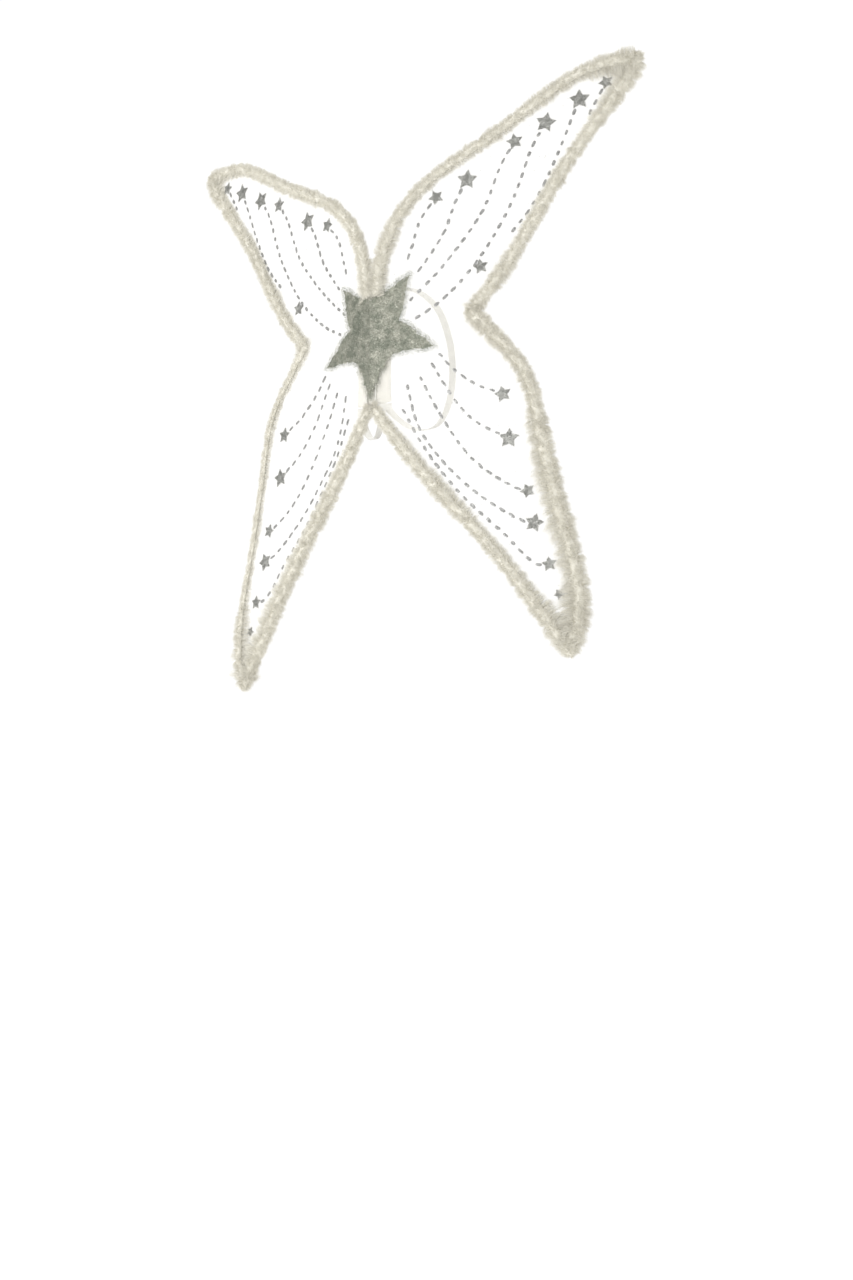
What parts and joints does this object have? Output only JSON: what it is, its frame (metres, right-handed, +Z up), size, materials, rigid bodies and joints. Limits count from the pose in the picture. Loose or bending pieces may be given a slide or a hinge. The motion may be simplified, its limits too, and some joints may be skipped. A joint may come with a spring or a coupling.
{
  "type": "costume angel wings",
  "caption": "Costume wings with pointed upper and lower lobes, sheer cloth, a fluffy trim, glitter stars, a back pad and elastic arm loops.",
  "frame": {"origin": "middle of the pad's flat front face, which lies on the wearer's back", "axes": "+Z up, +Y the way the wearer faces, +X the wearer's right"},
  "size_m": [0.834, 0.1489, 0.9442],
  "materials": {
    "sheer_cloth": "sheer milky organza with a fine weave and a few sparkles",
    "fluffy_trim": "soft warm-white fluff in locks",
    "silver_glitter": "silver glitter, mottled grey and grey-green",
    "white_wire": "white covered wire",
    "pad_cloth": "matt white felt over foam",
    "white_elastic": "ribbed white elastic"
  },
  "bodies": {
    "root": {"back_pad": "pad_cloth", "centre_star": "silver_glitter", "frame_wire_left": "white_wire", "frame_wire_right": "white_wire", "fur_lower_in_left": "fluffy_trim", "fur_lower_in_right": "fluffy_trim", "fur_lower_out_left": "fluffy_trim", "fur_lower_out_right": "fluffy_trim", "fur_upper_low_left": "fluffy_trim", "fur_upper_low_right": "fluffy_trim", "fur_upper_top_left": "fluffy_trim", "fur_upper_top_right": "fluffy_trim", "membrane_left": "sheer_cloth", "membrane_right": "sheer_cloth", "shoulder_strap_left": "white_elastic", "shoulder_strap_right": "white_elastic", "star_lower_1_left": "silver_glitter", "star_lower_1_right": "silver_glitter", "star_lower_2_left": "silver_glitter", "star_lower_2_right": "silver_glitter", "star_lower_3_left": "silver_glitter", "star_lower_3_right": "silver_glitter", "star_lower_4_left": "silver_glitter", "star_lower_4_right": "silver_glitter", "star_lower_5_left": "silver_glitter", "star_lower_5_right": "silver_glitter", "star_lower_6_left": "silver_glitter", "star_lower_6_right": "silver_glitter", "star_upper_1_left": "silver_glitter", "star_upper_1_right": "silver_glitter", "star_upper_2_left": "silver_glitter", "star_upper_2_right": "silver_glitter", "star_upper_3_left": "silver_glitter", "star_upper_3_right": "silver_glitter", "star_upper_4_left": "silver_glitter", "star_upper_4_right": "silver_glitter", "star_upper_5_left": "silver_glitter", "star_upper_5_right": "silver_glitter", "star_upper_6_left": "silver_glitter", "star_upper_6_right": "silver_glitter", "star_upper_7_left": "silver_glitter", "star_upper_7_right": "silver_glitter"}
  },
  "joints": []
}
